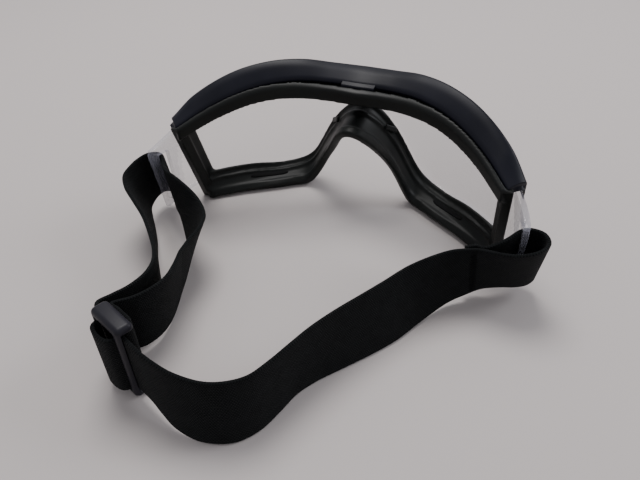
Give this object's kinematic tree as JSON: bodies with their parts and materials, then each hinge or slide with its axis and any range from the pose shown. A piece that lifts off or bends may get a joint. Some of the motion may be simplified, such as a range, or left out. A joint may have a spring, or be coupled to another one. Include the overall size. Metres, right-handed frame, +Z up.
{
  "type": "safety goggles",
  "caption": "Wraparound safety goggles: clear curved lens, vented brow cover, soft face seal with a nose arch, and an elastic webbing strap with a sliding adjuster.",
  "frame": {"origin": "on the table plane under the middle of the whole object's box", "axes": "+X towards the wearer's right, along the width of the lens; +Y forward, the way the lens faces; +Z up"},
  "size_m": [0.1814, 0.1691, 0.068],
  "materials": {
    "clear_lens": "clear polished polycarbonate",
    "brow_plastic": "satin blue-black moulded plastic",
    "vent_filter": "matt black filter",
    "seal_elastomer": "soft satin black elastomer",
    "strap_webbing": "matt black woven elastic",
    "slider_plastic": "satin dark grey moulded plastic"
  },
  "bodies": {
    "root": {"lens": "clear_lens", "brow_cover": "brow_plastic", "brow_bridge": "brow_plastic", "vent_strip_left": "vent_filter", "vent_strip_right": "vent_filter", "seal_top_wall": "seal_elastomer", "seal_side_left": "seal_elastomer", "seal_side_right": "seal_elastomer", "seal_cheek_left": "seal_elastomer", "seal_cheek_right": "seal_elastomer", "seal_nose_bridge": "seal_elastomer", "nose_peg_left": "seal_elastomer", "nose_peg_right": "seal_elastomer", "cheek_breather_left": "vent_filter", "cheek_breather_right": "vent_filter", "strap_right_loop": "strap_webbing", "strap_left_loop": "strap_webbing"},
    "strap": {"strap_main_side": "strap_webbing", "strap_main_rear": "strap_webbing", "strap_through_slider": "strap_webbing", "strap_outer_leg": "strap_webbing", "strap_inner_leg": "strap_webbing", "strap_right_tab": "strap_webbing"},
    "slider": {"slider": "slider_plastic", "strap_sewn_end": "strap_webbing"}
  },
  "joints": [
    {"name": "strap_swing", "type": "hinge", "parent": "root", "child": "strap", "pos_m": [0, 0.0173, 0.0194], "axis": [-1, 0, 0], "range_deg": [-20, 55]},
    {"name": "slider_adjust", "type": "slide", "parent": "strap", "child": "slider", "axis": [0.9272, -0.3746, 0], "range_m": [0, 0.008]}
  ]
}
